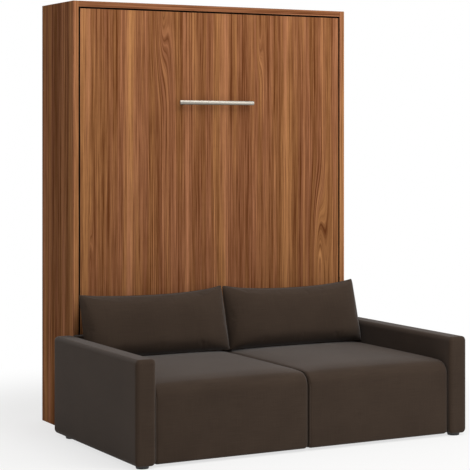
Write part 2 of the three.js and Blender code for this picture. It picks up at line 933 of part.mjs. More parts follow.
// It turns about a line a little ahead of its middle plane, so its lowest edge clears the sofa's back.
const tipHeight = seatTop + cushionLyingGap + cushionThickness / 2 - tipAhead;
const tipSweep = tipHeight - seatTop - softGap;
const tipRadius = Math.sqrt(tipSweep * tipSweep - tipAhead * tipAhead);
const middleAboveTip = cushionHeight / 2 - tipRadius;
// The powers that shape the filling across and up the cushion, and the one that shapes its corners.
const acrossPower = 3.4;
const acrossFall = 0.55;
const upPower = 2.6;
const upFall = 0.6;
const earPower = 3;
// How finely a cushion is drawn: stations across it, and steps up each face.
const cushionStations = 24;
const cushionSteps = 14;
// Half the cushion's thickness, from -1 to 1 across it and up it.
function halfThickness(across, up) {
  const fullAcross = Math.pow(1 - Math.pow(Math.abs(across), acrossPower), acrossFall);
  const fullUp = Math.pow(1 - Math.pow(Math.abs(up), upPower), upFall);
  return cushionSeam + (cushionThickness / 2 - cushionSeam) * fullAcross * fullUp;
}
// A point of the leaning cushion, from its distances up its middle plane and behind it.
function leaned(upwards, behind) {
  return new THREE.Vector2(
    upwards * Math.sin(cushionLean) + behind * Math.cos(cushionLean),
    upwards * Math.cos(cushionLean) - behind * Math.sin(cushionLean)
  );
}
// From the turning line to the cushion's middle.
const tipToMiddle = leaned(middleAboveTip, tipAhead);
const cushionMiddleZ = tipHeight + tipToMiddle.y;
// The cushion's y that leaves a small gap between its back and what it leans on: the rounded top
// of the sofa's back or, above that, the front panel.
function leaningY() {
  const roundStart = armHeight - sofaBackRound;
  const triesPerStep = 12;
  const backAt = (step) => {
    const up = Math.cos((step / cushionSteps) * Math.PI);
    return leaned((up * cushionHeight) / 2, halfThickness(0, up));
  };
  let nearest = Infinity;
  for (let i = 0; i <= cushionSteps * triesPerStep; i += 1) {
    const step = Math.min(Math.floor(i / triesPerStep), cushionSteps - 1);
    const point = backAt(step).lerp(backAt(step + 1), i / triesPerStep - step);
    const z = cushionMiddleZ + point.y;
    const roundY = drawnIn(sofaBackRound - Math.max(z - roundStart, 0), sofaBackRound);
    const faceY = z < armHeight ? sofaBackFront + roundY : 0;
    nearest = Math.min(nearest, faceY - point.x);
  }
  return nearest - touchGap;
}
const cushionMiddleY = leaningY();
function cushionRings() {
  const rings = [];
  for (let i = 0; i <= cushionStations; i += 1) {
    const across = -Math.cos((i / cushionStations) * Math.PI);
    const ring = [];
    for (let j = 0; j < 2 * cushionSteps; j += 1) {
      const turn = (j / cushionSteps) * Math.PI;
      const up = Math.cos(turn);
      const face = Math.sin(turn) >= 0 ? -1 : 1;
      const ears = up > 0 ? cushionTopEars : cushionBottomEars;
      const reach = cushionHeight / 2 + ears * Math.pow(Math.abs(across), earPower);
      const point = leaned(up * reach, face * halfThickness(across, up));
      const x = across * (cushionWidth / 2 - cushionDrawIn * (1 - up * up));
      ring.push(new THREE.Vector3(cushionMiddleX + x, cushionMiddleY + point.x, cushionMiddleZ + point.y));
    }
    rings.push(ring);
  }
  return rings;
}
addPair("back_cushion", skinOver(cushionRings()), upholstery);

// The origin lies on the floor, under the middle of the whole part's box.
assembly.position.y = (armLength - cabinetDepth) / 2;

// The turning points that the record's joints state
const tipY = cushionMiddleY - tipToMiddle.x;
console.log("cushion turns at y, z", (tipY + assembly.position.y).toFixed(2), tipHeight.toFixed(2));
console.log("leg turns at y, z", (legHingeY + assembly.position.y).toFixed(2), legHingeZ.toFixed(2));
console.log("spring length", springLength.toFixed(2));

export default assembly;
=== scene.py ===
"""A double wall bed in walnut veneer that folds down over a two-seat sofa in dark brown cloth."""

import math

import bpy
import numpy as np
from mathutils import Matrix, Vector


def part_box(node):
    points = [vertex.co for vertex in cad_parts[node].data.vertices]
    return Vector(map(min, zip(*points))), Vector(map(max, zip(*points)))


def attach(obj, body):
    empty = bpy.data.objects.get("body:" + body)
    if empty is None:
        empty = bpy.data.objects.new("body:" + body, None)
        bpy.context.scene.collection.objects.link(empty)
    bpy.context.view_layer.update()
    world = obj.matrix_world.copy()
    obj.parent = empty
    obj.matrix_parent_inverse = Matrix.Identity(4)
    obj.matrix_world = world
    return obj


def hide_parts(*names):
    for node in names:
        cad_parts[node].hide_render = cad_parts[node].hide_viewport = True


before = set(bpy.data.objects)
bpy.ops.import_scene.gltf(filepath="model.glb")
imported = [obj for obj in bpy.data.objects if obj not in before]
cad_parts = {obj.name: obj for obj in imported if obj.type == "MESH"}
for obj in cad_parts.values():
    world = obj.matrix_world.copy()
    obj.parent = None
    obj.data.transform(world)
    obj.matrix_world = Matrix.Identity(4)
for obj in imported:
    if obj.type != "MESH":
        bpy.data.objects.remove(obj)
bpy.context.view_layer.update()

# Camera: level, about eight metres away, looking 28 degrees across the sofa from its left.
# A long lens keeps the cabinet's uprights parallel, and a shift lowers the view to the floor.
picture_side = 470
focal_length_px = 1627.0
horizon_row = 131.0
camera_turn = math.radians(28.4)
camera_data = bpy.data.cameras.new("camera")
camera_data.sensor_width = 36.0
camera_data.lens = camera_data.sensor_width * focal_length_px / picture_side
camera_data.shift_y = (horizon_row - picture_side / 2) / picture_side
camera_data.clip_end = 60.0
camera = bpy.data.objects.new("camera", camera_data)
camera.location = (-3.985, -7.315, 1.522)
camera.rotation_euler = (math.pi / 2, 0.0, -camera_turn)
scene = bpy.context.scene
scene.collection.objects.link(camera)
scene.camera = camera
scene.view_settings.view_transform = "Standard"


# Studio: a pale floor and a white surround. A broad soft lamp stands to the right in front, a second
# hangs above the sofa, and the surround and the floor fill the shadows.
class Value:
    """A shader socket that can stand in a sum: arithmetic on it adds the Math nodes."""

    def __init__(self, nodes, socket):
        self.nodes = nodes
        self.socket = socket

    def with_math(self, operation, *inputs):
        settings = {"operation": operation}
        return self.nodes.add("Math", settings, dict(enumerate(inputs)))

    def __add__(self, other):
        return self.with_math("ADD", self, other)

    def __sub__(self, other):
        return self.with_math("SUBTRACT", self, other)

    def __rsub__(self, other):
        return self.with_math("SUBTRACT", other, self)

    def __mul__(self, other):
        return self.with_math("MULTIPLY", self, other)

    def __rtruediv__(self, other):
        return self.with_math("DIVIDE", other, self)

    def __pow__(self, other):
        return self.with_math("POWER", self, other)

    __radd__ = __add__
    __rmul__ = __mul__

    def sine(self):
        return self.with_math("SINE", self)

    def between(self, low, high):
        """0 at or below low, 1 at or above high, and smooth between them."""
        settings = {"interpolation_type": "SMOOTHSTEP"}
        return self.nodes.add("MapRange", settings, {"Value": self, "From Min": low, "From Max": high})


class Nodes:
    """A node tree, with one method that adds any node."""

    def __init__(self, tree):
        self.tree = tree

    def add(self, kind, settings=None, inputs=None, output=0):
        """Adds a node, sets it, and fills or links its sockets. Returns the named output."""
        node = self.tree.nodes.new("ShaderNode" + kind)
        for key, value in (settings or {}).items():
            setattr(node, key, value)
        for key, value in (inputs or {}).items():
            if isinstance(value, Value):
                self.tree.links.new(value.socket, node.inputs[key])
            else:
                node.inputs[key].default_value = value
        return Value(self, node.outputs[output])

    def parts(self, output):
        """The three numbers of a texture coordinate: a place on the piece in metres, or its map."""
        place = self.add("TexCoord", output=output)
        return [self.add("SeparateXYZ", {}, {0: place}, output=axis) for axis in range(3)]

    def vector(self, x, y, z):
        return self.add("CombineXYZ", {}, {0: x, 1: y, 2: z})

    def noise(self, vector, scale=1.0, detail=2.0):
        """Smooth noise from 0 to 1."""
        inputs = {"Vector": vector, "Scale": scale, "Detail": detail}
        return self.add("TexNoise", {"normalize": True}, inputs)

    def grain(self, rates=(1.0, 1.0, 1.0), **settings):
        """Noise over the piece's own place in metres, with a rate for each axis."""
        place = [part * rate for part, rate in zip(self.parts("Object"), rates)]
        return self.noise(self.vector(*place), **settings)

    def mix(self, factor, first, second):
        """The first colour at 0 and the second at 1."""
        colours = {0: factor, 6: first, 7: second}
        return self.add("Mix", {"data_type": "RGBA"}, colours, output=2)

    def bump(self, height, distance, strength):
        inputs = {"Height": height, "Distance": distance, "Strength": strength}
        return self.add("Bump", {}, inputs)

    def rays(self, *kinds):
        """1 for a ray of one of these kinds, and 0 for any other."""
        flags = [self.add("LightPath", output="Is %s Ray" % kind) for kind in kinds]
        total = flags[0]
        for flag in flags[1:]:
            total = total + flag
        return total.with_math("MINIMUM", total, 1.0)


class Finish(Nodes):
    """A material with a Principled shader."""

    def __init__(self, name, **constants):
        self.material = bpy.data.materials.new(name)
        self.material.use_nodes = True
        super().__init__(self.material.node_tree)
        self.shader = self.tree.nodes["Principled BSDF"]
        self.set(**constants)

    def set(self, **inputs):
        """Sets or links sockets of the shader. An underscore in a name stands for a space."""
        for key, value in inputs.items():
            socket = self.shader.inputs[key.replace("_", " ")]
            if isinstance(value, Value):
                self.tree.links.new(value.socket, socket)
            else:
                socket.default_value = value


def rgb(red, green, blue):
    """A colour of 0 to 255 display values as linear light, with full alpha."""
    shown = np.array([red, green, blue]) / 255.0
    linear = np.where(shown <= 0.04045, shown / 12.92, ((shown + 0.055) / 1.055) ** 2.4)
    return (*linear.tolist(), 1.0)


def surface(name, points, faces, material, smooth=True):
    """An object of these points and faces, with its material."""
    mesh = bpy.data.meshes.new(name)
    mesh.from_pydata(points.tolist(), [], [list(face) for face in faces])
    mesh.materials.append(material)
    mesh.polygons.foreach_set("use_smooth", np.full(len(mesh.polygons), smooth))
    mesh.update()
    made = bpy.data.objects.new(name, mesh)
    scene.collection.objects.link(made)
    return made


floor_half_width = 30.0
floor_finish = Finish("studio_floor")
mottle = floor_finish.grain(scale=40.0)
floor_finish.set(Base_Color=rgb(238, 237, 235), Roughness=0.80 + 0.1 * mottle)
# The floor turns plain white away from the object, so that it has no horizon.
x, y, _ = floor_finish.parts("Object")
from_middle = (x * x + y * y) ** 0.5
white_start, white_full = 1.2, 2.6
near_white = 0.70
white_share = near_white + (1.0 - near_white) * from_middle.between(white_start, white_full)
glow = floor_finish.add("Emission", {}, {"Color": (1.0, 1.0, 1.0, 1.0), "Strength": 1.0})
shader = Value(floor_finish, floor_finish.shader.outputs[0])
seen = floor_finish.rays("Camera", "Glossy", "Transmission")
mixed = floor_finish.add("MixShader", {}, {0: seen * white_share, 1: shader, 2: glow})
floor_finish.tree.links.new(mixed.socket, floor_finish.tree.nodes["Material Output"].inputs["Surface"])
corners = np.array([[-1, -1, 0], [1, -1, 0], [1, 1, 0], [-1, 1, 0]]) * floor_half_width
surface("studio_floor", corners, [(0, 1, 2, 3)], floor_finish.material)

world = bpy.data.worlds.new("studio")
world.use_nodes = True
scene.world = world
sky = Nodes(world.node_tree)
background = world.node_tree.nodes["Background"]
background.inputs["Color"].default_value = (1.0, 1.0, 1.0, 1.0)
surround_strength = 0.43
shown = sky.rays("Camera", "Glossy", "Transmission")
strength = surround_strength + (1.0 - surround_strength) * shown
world.node_tree.links.new(strength.socket, background.inputs["Strength"])


def soft_lamp(name, place, target, size, power):
    """A square lamp of this size in metres, which faces its target."""
    data = bpy.data.lights.new(name, "AREA")
    data.shape = "SQUARE"
    data.size = size
    data.energy = power
    lamp = bpy.data.objects.new(name, data)
    way = np.array(target) - np.array(place)
    across = math.hypot(way[0], way[1])
    lamp.location = place
    lamp.rotation_euler = (math.atan2(across, -way[2]), 0.0, math.atan2(-way[0], way[1]))
    scene.collection.objects.link(lamp)


soft_lamp("front_lamp", (4.4, -5.2, 2.8), (0.0, 0.0, 0.9), 3.4, 108.0)
soft_lamp("top_lamp", (0.6, -2.2, 4.9), (0.1, -0.2, 0.8), 3.2, 155.0)


# Cabinet: veneered boards with banded edges. The two sides run from floor to top and carry the top
# and base between them, and the rails behind are screwed to the wall. Edges are eased by 1.8 mm.
def face_lines(low, high, radius, cells, arc):
    """Grid lines along one axis: closer over each rounded edge, at r (1 - tan a), and even between."""
    turn = np.linspace(np.pi / 4, 0.0, arc + 1)
    edge = radius * (1.0 - np.tan(turn))
    middle = np.linspace(low + radius, high - radius, cells + 1)[1:-1]
    return np.concatenate([low + edge, middle, (high - edge)[::-1]])


def rounded_box(low, high, radius, cells=(1, 1, 1), arc=2):
    """A box as six grids. Each point p is drawn to the inner box, q = clamp(p), and pushed out
    again to q + r (p - q) / |p - q|, with a radius of its own along each axis."""
    low, high = np.array(low, float), np.array(high, float)
    radius = np.broadcast_to(np.array(radius, float), 3)
    lines = [face_lines(low[i], high[i], radius[i], cells[i], arc) for i in range(3)]
    points, faces, count = [], [], 0
    for axis in range(3):
        first, second = (axis + 1) % 3, (axis + 2) % 3
        for side, level in enumerate((low[axis], high[axis])):
            grid = np.empty((len(lines[first]), len(lines[second]), 3))
            grid[..., axis] = level
            grid[..., first] = lines[first][:, None]
            grid[..., second] = lines[second][None, :]
            index = np.arange(grid[..., 0].size).reshape(grid.shape[:2]) + count
            quads = np.stack([index[:-1, :-1], index[1:, :-1], index[1:, 1:], index[:-1, 1:]], -1)
            faces.append((quads if side else quads[..., ::-1]).reshape(-1, 4))
            points.append(grid.reshape(-1, 3))
            count += index.size
    points = np.concatenate(points)
    inner = np.clip(points, low + radius, high - radius)
    out = (points - inner) / radius
    out /= np.linalg.norm(out, axis=1, keepdims=True)
    return welded(inner + out * radius, np.concatenate(faces))


def welded(points, faces, grid=1e-6):
    """The same faces, with points at one place made one."""
    _, kept, where = np.unique(np.round(points / grid), axis=0, return_index=True, return_inverse=True)
    return points[kept], where.reshape(-1)[faces]


# Each layer of veneer tone: how fast it changes across and along the board in cycles a metre, its
# detail, and its weight. They run from the board's broad bands to single growth rings.
mean_tone = 0.41
veneer_layers = (
    (5.0, 0.06, 1.0, 0.45),
    (16.0, 0.12, 1.0, 0.45),
    (40.0, 0.28, 1.0, 0.55),
    (85.0, 0.7, 1.0, 0.80),
    (170.0, 1.3, 2.0, 1.60),
    (230.0, 5.0, 2.0, 0.90),
)
# The noise that bends the rings, given in the same way, with its weight in metres.
ring_bends = (
    (2.6, 0.7, 1.0, 0.020),
    (12.0, 1.6, 2.0, 0.005),
)
# Lines, pores and the drift of hue: cycles a metre across and along, a shift of the noise's place,
# and the two levels of noise between which they set in.
dark_line = (260.0, 3.0, 40.0, 0.58, 0.74)
open_pore = (700.0, 26.0, 0.0, 0.58, 0.68)
hue_drift = (22.0, 0.5, 50.0, 0.35, 0.65)
line_share, pore_share = 0.34, 0.16
walnut_yellow = rgb(180, 126, 80)
walnut_pink = rgb(177, 120, 85)
walnut_dark = rgb(97, 54, 28)
walnut_line = rgb(58, 29, 14)


def layered(finish, value, layers, across, along, shift, apart):
    """The value with each layer of noise added. The layers' noises are taken this far apart."""
    for number, (scale, stretch, detail, weight) in enumerate(layers):
        place = finish.vector(across * scale, along * stretch, shift + apart * number)
        value = value + weight * (finish.noise(place, detail=detail) - 0.5)
    return value


def streaks(finish, across, along, shift, scale, stretch, more_shift, low, high):
    """Streaks along the board, from 0 to 1."""
    place = finish.vector(across * scale, along * stretch, shift + more_shift)
    return finish.noise(place, detail=1.0).between(low, high)


def bell(value, place, width):
    """1 / (1 + ((value - place) / width)^2)^2, which is 1 at the place and 0.01 three widths away."""
    return 1.0 / (1.0 + ((value - place) * (1.0 / width)) ** 2.0) ** 2.0


def veneer(name, grain, strips=(), figures=(), shift=0.0):
    """Sliced walnut. A ring value runs across the board, and every tone is a function of it. Noise
    bends it, and each figure adds a bell whose height changes along the board, which folds the
    straight lines into nested arches. Strips are where the board has a paler or darker stripe.
    Upright grain has its places across in x + y, and level grain in y + z."""
    finish = Finish(name, Specular_IOR_Level=0.002)
    x, y, z = finish.parts("Object")
    along, across = (z, x + y) if grain == "z" else (x, y + z)
    ring = layered(finish, across, ring_bends, across, along, shift, apart=3.0)
    for place, width, above, below, top, reach in figures:
        fold = (top - along).between(0.0, reach)
        ring = ring + (above + (below - above) * fold) * bell(across, place, width)
    tone = layered(finish, mean_tone, veneer_layers, ring, along, shift, apart=7.0)
    for place, width, weight in strips:
        tone = tone + weight * bell(ring, place, width)
    line = streaks(finish, ring, along, shift, *dark_line)
    pore = streaks(finish, across, along, shift, *open_pore)
    hue = streaks(finish, ring, along, shift, *hue_drift)
    body = finish.mix(tone, walnut_dark, finish.mix(hue, walnut_yellow, walnut_pink))
    with_lines = finish.mix(line * line_share, body, walnut_line)
    finish.set(
        Base_Color=finish.mix(pore * pore_share, with_lines, walnut_line),
        Roughness=0.46 + 0.12 * pore - 0.05 * tone,
        Normal=finish.bump(1.0 - 0.7 * pore - 0.3 * line, 0.0002, 0.5),
    )
    return finish.material


def place_piece(made, body, slot, *nodes):
    """The piece stands for the nodes, whose CAD parts it hides, and moves with their body."""
    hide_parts(*nodes)
    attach(made, body)


# Each stripe: its place across, its width, and how much paler or darker it is.
upright_strips = [
    (-0.141, 0.022, 0.35),
    (-0.205, 0.020, 0.20),
    (-0.308, 0.050, -0.24),
    (-0.395, 0.025, 0.18),
    (-0.445, 0.020, -0.18),
    (-0.485, 0.015, 0.20),
    (-0.518, 0.012, 0.25),
    (1.080, 0.030, 0.50),
]
upright_veneer = veneer("walnut_upright", "z", upright_strips, shift=0.31)
level_veneer = veneer("walnut_level", "x", shift=0.83)
# Painted shade: a dark finish on the inner faces of the boards and on the edges of the front, in place of
# the shade that fills the gap round the front.
gap_shade_finish = Finish("painted_gap_shade", Specular_IOR_Level=0.1)
gap_shade_mottle = gap_shade_finish.grain(scale=180.0, detail=3.0)
gap_shade_finish.set(
    Base_Color=gap_shade_finish.mix(gap_shade_mottle, rgb(22, 16, 13), rgb(34, 25, 20)),
    Roughness=0.70 + 0.12 * gap_shade_mottle,
    Normal=gap_shade_finish.bump(gap_shade_mottle, 0.0002, 0.4),
)


def paint_gap_shade(made, least, *ways):
    """Faces whose normal has at least this cosine to one of the ways get the dark finish of painted shade.
    """
    made.data.materials.append(gap_shade_finish.material)
    normals = np.empty(len(made.data.polygons) * 3)
    made.data.polygons.foreach_get("normal", normals)
    looks = (normals.reshape(-1, 3) @ np.array(ways).T).max(axis=1) > least
    made.data.polygons.foreach_set("material_index", looks.astype(int))


board_edge = 0.0018
faces_alone, faces_and_edges = 0.9, 0.5
board_materials = {
    "side_panel_left": upright_veneer,
    "side_panel_right": upright_veneer,
    "top_panel": level_veneer,
    "base_panel": level_veneer,
    "lower_back_rail": level_veneer,
    "middle_back_rail": level_veneer,
    "upper_back_rail": level_veneer,
    "lower_front_panel": level_veneer,
}
inner_ways = {
    "side_panel_left": (1, 0, 0),
    "side_panel_right": (-1, 0, 0),
    "top_panel": (0, 0, -1),
    "base_panel": (0, 0, 1),
}
for node, material in board_materials.items():
    points, faces = rounded_box(*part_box(node), board_edge)
    board = surface(node + "_board", points, faces, material, smooth=False)
    # The inner faces get the dark finish of painted shade, for the gap round the front.
    if node in inner_ways:
        paint_gap_shade(board, faces_alone, inner_ways[node])
    place_piece(board, "cabinet_and_sofa", "walnut_board", node)

# Back sheet: thin fibreboard with a pale printed face. It is let in between the boards behind the
# rails and closes the cabinet behind the bed.
back_finish = Finish("back_sheet")
fibre = back_finish.grain(scale=260.0, detail=4.0)
cloud = back_finish.grain(scale=3.0)
back_finish.set(
    Base_Color=back_finish.mix(0.6 * fibre + 0.4 * cloud, rgb(196, 184, 160), rgb(224, 215, 196)),
    Roughness=0.62 + 0.12 * fibre,
    Normal=back_finish.bump(fibre, 0.0003, 0.4),
)


def dress(material, *nodes):
    """Gives shown CAD pieces their material."""
    for node in nodes:
        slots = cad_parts[node].data.materials
        slots.clear()
        slots.append(material)


dress(back_finish.material, "back_panel")

# Folding front: one large veneered board, screwed to the bed frame from behind. Its straight grain
# has paler stripes, a figure left of the middle that opens upwards, and nested arches at the right.
# It is drawn in by about a millimetre, for the clear dark gap that it has all round.
front_strips = [
    (-0.740, 0.026, 0.28),
    (-0.653, 0.015, -0.10),
    (-0.575, 0.028, -0.12),
    (-0.491, 0.026, 0.34),
    (-0.320, 0.060, -0.06),
    (-0.233, 0.012, 0.24),
    (-0.163, 0.022, 0.34),
    (-0.064, 0.040, -0.12),
    (0.061, 0.018, 0.30),
    (0.095, 0.015, -0.16),
    (0.434, 0.026, 0.30),
    (0.600, 0.500, -0.06),
    (0.675, 0.016, 0.16),
    (0.732, 0.014, 0.18),
]
# Each figure: its place across, its width, its height above and below, the level from which the one
# passes to the other downwards, and over what length.
front_figures = [
    (-0.31, 0.050, 0.075, 0.00, 2.20, 0.60),
    (0.64, 0.055, 0.00, 0.10, 1.42, 0.70),
    (0.27, 0.026, 0.045, 0.00, 2.05, 0.30),
    (-0.713, 0.016, 0.00, 0.030, 1.14, 0.30),
]
low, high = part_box("front_panel")
front_veneer = veneer(
    "walnut_front",
    "z",
    [(place + low[1], width, weight) for place, width, weight in front_strips],
    [(place + low[1], *form) for place, *form in front_figures],
)
front_edge, front_drawn_in = 0.0025, 0.0012
inside = np.array([front_drawn_in, 0.0, front_drawn_in])
points, faces = rounded_box(np.array(low) + inside, np.array(high) - inside, front_edge)
front = surface("folding_front", points, faces, front_veneer, smooth=False)
# Painted shade: the front's edges take the dark finish, so that the gap all round looks dark.
paint_gap_shade(front, faces_and_edges, (1, 0, 0), (-1, 0, 0), (0, 0, 1), (0, 0, -1))
place_piece(front, "bed", "walnut_board", "front_panel")

# Handle: a satin steel bar on two round posts with small collars, brushed along its length. It is
# screwed to the front from inside.
steel_finish = Finish("satin_steel", Metallic=1.0)
brushed = steel_finish.grain((12.0, 1500.0, 1500.0))
steel_finish.set(
    Base_Color=steel_finish.mix(brushed, rgb(126, 121, 112), rgb(160, 155, 146)),
    Roughness=0.24 + 0.12 * brushed,
    Normal=steel_finish.bump(brushed, 0.00005, 0.5),
)


def turned(profile, centre, sides=32):
    """A closed solid turned about an axis along y, from rows of distance along it and radius."""
    turn = np.linspace(0.0, 2.0 * np.pi, sides, endpoint=False)
    along, radius = np.array(profile).T
    rings = np.stack([
        centre[0] + radius[:, None] * np.cos(turn),
        np.repeat(along[:, None], sides, axis=1),
        centre[1] + radius[:, None] * np.sin(turn),
    ], -1)
    index = np.arange(rings[..., 0].size).reshape(rings.shape[:2])
    after = np.roll(index, -1, axis=1)
    quads = np.stack([index[:-1], index[1:], after[1:], after[:-1]], -1).reshape(-1, 4)
    return rings.reshape(-1, 3), quads.tolist() + [index[0].tolist(), index[-1][::-1].tolist()]


def joined(parts):
    """Several shapes as one list of points and one of faces."""
    points, faces, count = [], [], 0
    for part_points, part_faces in parts:
        points.append(part_points)
        faces += [[number + count for number in face] for face in part_faces]
        count += len(part_points)
    return np.concatenate(points), faces


low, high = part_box("handle")
bar_depth, bar_rounding = 0.010, (0.002, 0.0048, 0.0108)
post_radius, post_inset, post_overlap = 0.006, 0.028, 0.001
collar_radius, collar_depth = 0.009, 0.002
handle_parts = [rounded_box(low, (high[0], low[1] + bar_depth, high[2]), bar_rounding, arc=6)]
for post_x in (low[0] + post_inset, high[0] - post_inset):
    rows = [
        (low[1] + bar_depth - post_overlap, post_radius),
        (high[1] - collar_depth, post_radius),
        (high[1] - collar_depth, collar_radius),
        (high[1], collar_radius),
    ]
    handle_parts.append(turned(rows, (post_x, (low[2] + high[2]) / 2)))
handle = surface("handle_bar", *joined(handle_parts), steel_finish.material)
place_piece(handle, "bed", "satin_metal", "handle")

# Steel fittings: the welded bed frame, the brackets and hinge plates it turns on, the wall angles,
# and the cranked tube legs on their pins, all powder coated grey.
paint_finish = Finish("powder_coat", Metallic=0.35)
peel = paint_finish.grain(scale=900.0)
dust = paint_finish.grain(scale=9.0, detail=3.0)
paint_finish.set(
    Base_Color=paint_finish.mix(dust, rgb(128, 131, 134), rgb(146, 148, 150)),
    Roughness=0.42 + 0.12 * peel,
    Normal=paint_finish.bump(peel, 0.0001, 0.4),
)
both_sides = ("left", "right")


def pairs(*names):
    """The left and the right node of each name."""
    return ["%s_%s" % (name, side) for name in names for side in both_sides]


dress(paint_finish.material, *pairs("wall_angle", "hinge_plate", "bed_bracket", "leg", "leg_pin"))
dress(paint_finish.material, *["frame_rail_" + end for end in ("left", "right", "head", "foot", "centre")])

# Slats: twelve beech boards across the frame, sawn along the grain and lightly lacquered. They lie
# on the side rails and the centre rail, under the mattress.
slat_finish = Finish("beech")
fleck = slat_finish.grain((60.0, 500.0, 500.0))
stripe = slat_finish.grain((0.8, 40.0, 40.0))
tone = (0.7 * stripe + 0.3 * fleck).between(0.3, 0.7)
slat_finish.set(
    Base_Color=slat_finish.mix(tone, rgb(196, 152, 104), rgb(226, 190, 146)),
    Roughness=0.46 + 0.10 * fleck,
    Normal=slat_finish.bump(fleck, 0.0001, 0.4),
)
dress(slat_finish.material, *["slat_%02d" % (number + 1) for number in range(12)])

# Gas springs: a black painted tube and a chromed rod, each with an eye at its end. One on each side
# runs from the hinge plate to the bed's bracket.
tube_finish = Finish("black_tube")
speck = tube_finish.grain(scale=700.0)
tube_finish.set(
    Base_Color=tube_finish.mix(speck, rgb(22, 22, 24), rgb(34, 34, 37)),
    Roughness=0.28 + 0.1 * speck,
)
dress(tube_finish.material, *pairs("spring_tube"))
rod_finish = Finish("chromed_rod", Metallic=1.0)
wipe = rod_finish.grain((400.0, 400.0, 8.0))
rod_finish.set(
    Base_Color=rod_finish.mix(wipe, rgb(216, 217, 219), rgb(232, 233, 235)),
    Roughness=0.06 + 0.08 * wipe,
)
dress(rod_finish.material, *pairs("spring_rod"))

# Feet and glides: moulded black plastic. The feet stand under the arms and seats, and the glides
# close the ends of the legs.
plastic_finish = Finish("black_plastic")
mould = plastic_finish.grain(scale=1200.0)
plastic_finish.set(
    Base_Color=plastic_finish.mix(mould, rgb(20, 20, 20), rgb(33, 32, 31)),
    Roughness=0.5 + 0.15 * mould,
    Normal=plastic_finish.bump(mould, 0.0001, 0.3),
)
dress(plastic_finish.material, *pairs("leg_glide", "arm_foot_front", "arm_foot_rear"))
dress(plastic_finish.material, "seat_foot_front", "seat_foot_rear")

# Mattress: a foam core in a white knitted cover, quilted in diamonds on both faces, with a plain
# border between two taped edges.
cover_finish = Finish("mattress_cover", Sheen_Weight=0.15)
knit = cover_finish.grain(scale=900.0)
cover_finish.set(
    Base_Color=cover_finish.mix(knit, rgb(222, 219, 211), rgb(242, 240, 234)),
    Roughness=0.80 + 0.1 * knit,
    Normal=cover_finish.bump(knit, 0.0004, 0.5),
)


def rounded_outline(low, high, radii, spacing, arc=7):
    """A rectangle with its own radius at each corner, from the lower left one by the lower right one.
    Returns points and the directions they face."""
    arcs, facing = [], []
    for number, radius in enumerate(radii):
        at_right, at_top = number in (1, 2), number in (2, 3)
        centre_x = high[0] - radius if at_right else low[0] + radius
        centre_y = high[1] - radius if at_top else low[1] + radius
        turn = np.pi + number * np.pi / 2 + np.linspace(0.0, np.pi / 2, arc + 1)
        way = np.stack([np.cos(turn), np.sin(turn)], -1)
        arcs.append(np.array([centre_x, centre_y]) + radius * way)
        facing.append(way)
    points, ways = [], []
    for number in range(4):
        start, end = arcs[number][-1], arcs[(number + 1) % 4][0]
        steps = max(2, round(np.linalg.norm(end - start) / spacing))
        share = (np.arange(1, steps) / steps)[:, None]
        points += [arcs[number], start + (end - start) * share]
        ways += [facing[number], np.repeat(facing[number][-1:], steps - 1, axis=0)]
    return np.concatenate(points), np.concatenate(ways)


def welt(path, points, radius, sides=8, smooth=4):
    """A sewn cord along a closed path. Each point of the path takes the place of the nearest of the
    points, the path is smoothed, and a ring p + r (n cos a + b sin a) stands square to it."""
    away = (path**2).sum(axis=1)[:, None] + (points**2).sum(axis=1) - 2.0 * path @ points.T
    path = points[away.argmin(axis=1)]
    steps = range(-smooth, smooth + 1)
    path = sum(np.roll(path, step, axis=0) for step in steps) / len(steps)
    way = np.roll(path, -1, axis=0) - np.roll(path, 1, axis=0)
    way /= np.linalg.norm(way, axis=1, keepdims=True)
    out = path - path.mean(axis=0)
    out -= way * (out * way).sum(axis=1, keepdims=True)
    out /= np.linalg.norm(out, axis=1, keepdims=True)
    aside = np.cross(way, out)
    turn = np.linspace(0.0, 2.0 * np.pi, sides, endpoint=False)[:, None]
    rings = path[:, None] + radius * (np.cos(turn) * out[:, None] + np.sin(turn) * aside[:, None])
    index = np.arange(len(path) * sides).reshape(-1, sides)
    ahead, after = np.roll(index, -1, axis=0), np.roll(index, -1, axis=1)
    quads = np.stack([index, after, np.roll(ahead, -1, axis=1), ahead], -1).reshape(-1, 4)
    return rings.reshape(-1, 3), quads.tolist()


low, high = (np.array(corner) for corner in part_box("mattress"))
mattress_edge, mattress_cells = 0.022, (110, 8, 146)
tape_radius, tape_inset, tape_spacing = 0.004, 0.007, 0.010
diamond, quilt_depth, face_share = 0.125, 0.008, 0.8
plain_border, border_slope = 0.030, 0.02
points, faces = rounded_box(low, high, mattress_edge, mattress_cells, arc=4)
# Seams cross in diamonds, and the cover is drawn in along them, but for the plain border.
first = np.sin((points[:, 0] + points[:, 2]) / diamond * np.pi)
second = np.sin((points[:, 0] - points[:, 2]) / diamond * np.pi)
pocket = np.abs(first * second) ** 0.5
edge_room = np.minimum(points - low, high - points)[:, [0, 2]].min(axis=1)
on_face = np.clip((edge_room - plain_border) / border_slope, 0.0, 1.0)
middle_y, half_y = (low[1] + high[1]) / 2, (high[1] - low[1]) / 2
from_middle_y = points[:, 1] - middle_y
side = np.sign(from_middle_y) * (np.abs(from_middle_y) > half_y * face_share)
points[:, 1] -= side * on_face * quilt_depth * (1.0 - pocket)
outline, ways = rounded_outline(low[[0, 2]], high[[0, 2]], [mattress_edge] * 4, tape_spacing)
outline -= ways * tape_inset
parts = [(points, faces)]
for tape_y in (low[1] + tape_inset, high[1] - tape_inset):
    path = np.column_stack([outline[:, 0], np.full(len(outline), tape_y), outline[:, 1]])
    parts.append(welt(path, points, tape_radius))
mattress = surface("mattress_cover", *joined(parts), cover_finish.material)
place_piece(mattress, "bed", "ticking", "mattress")

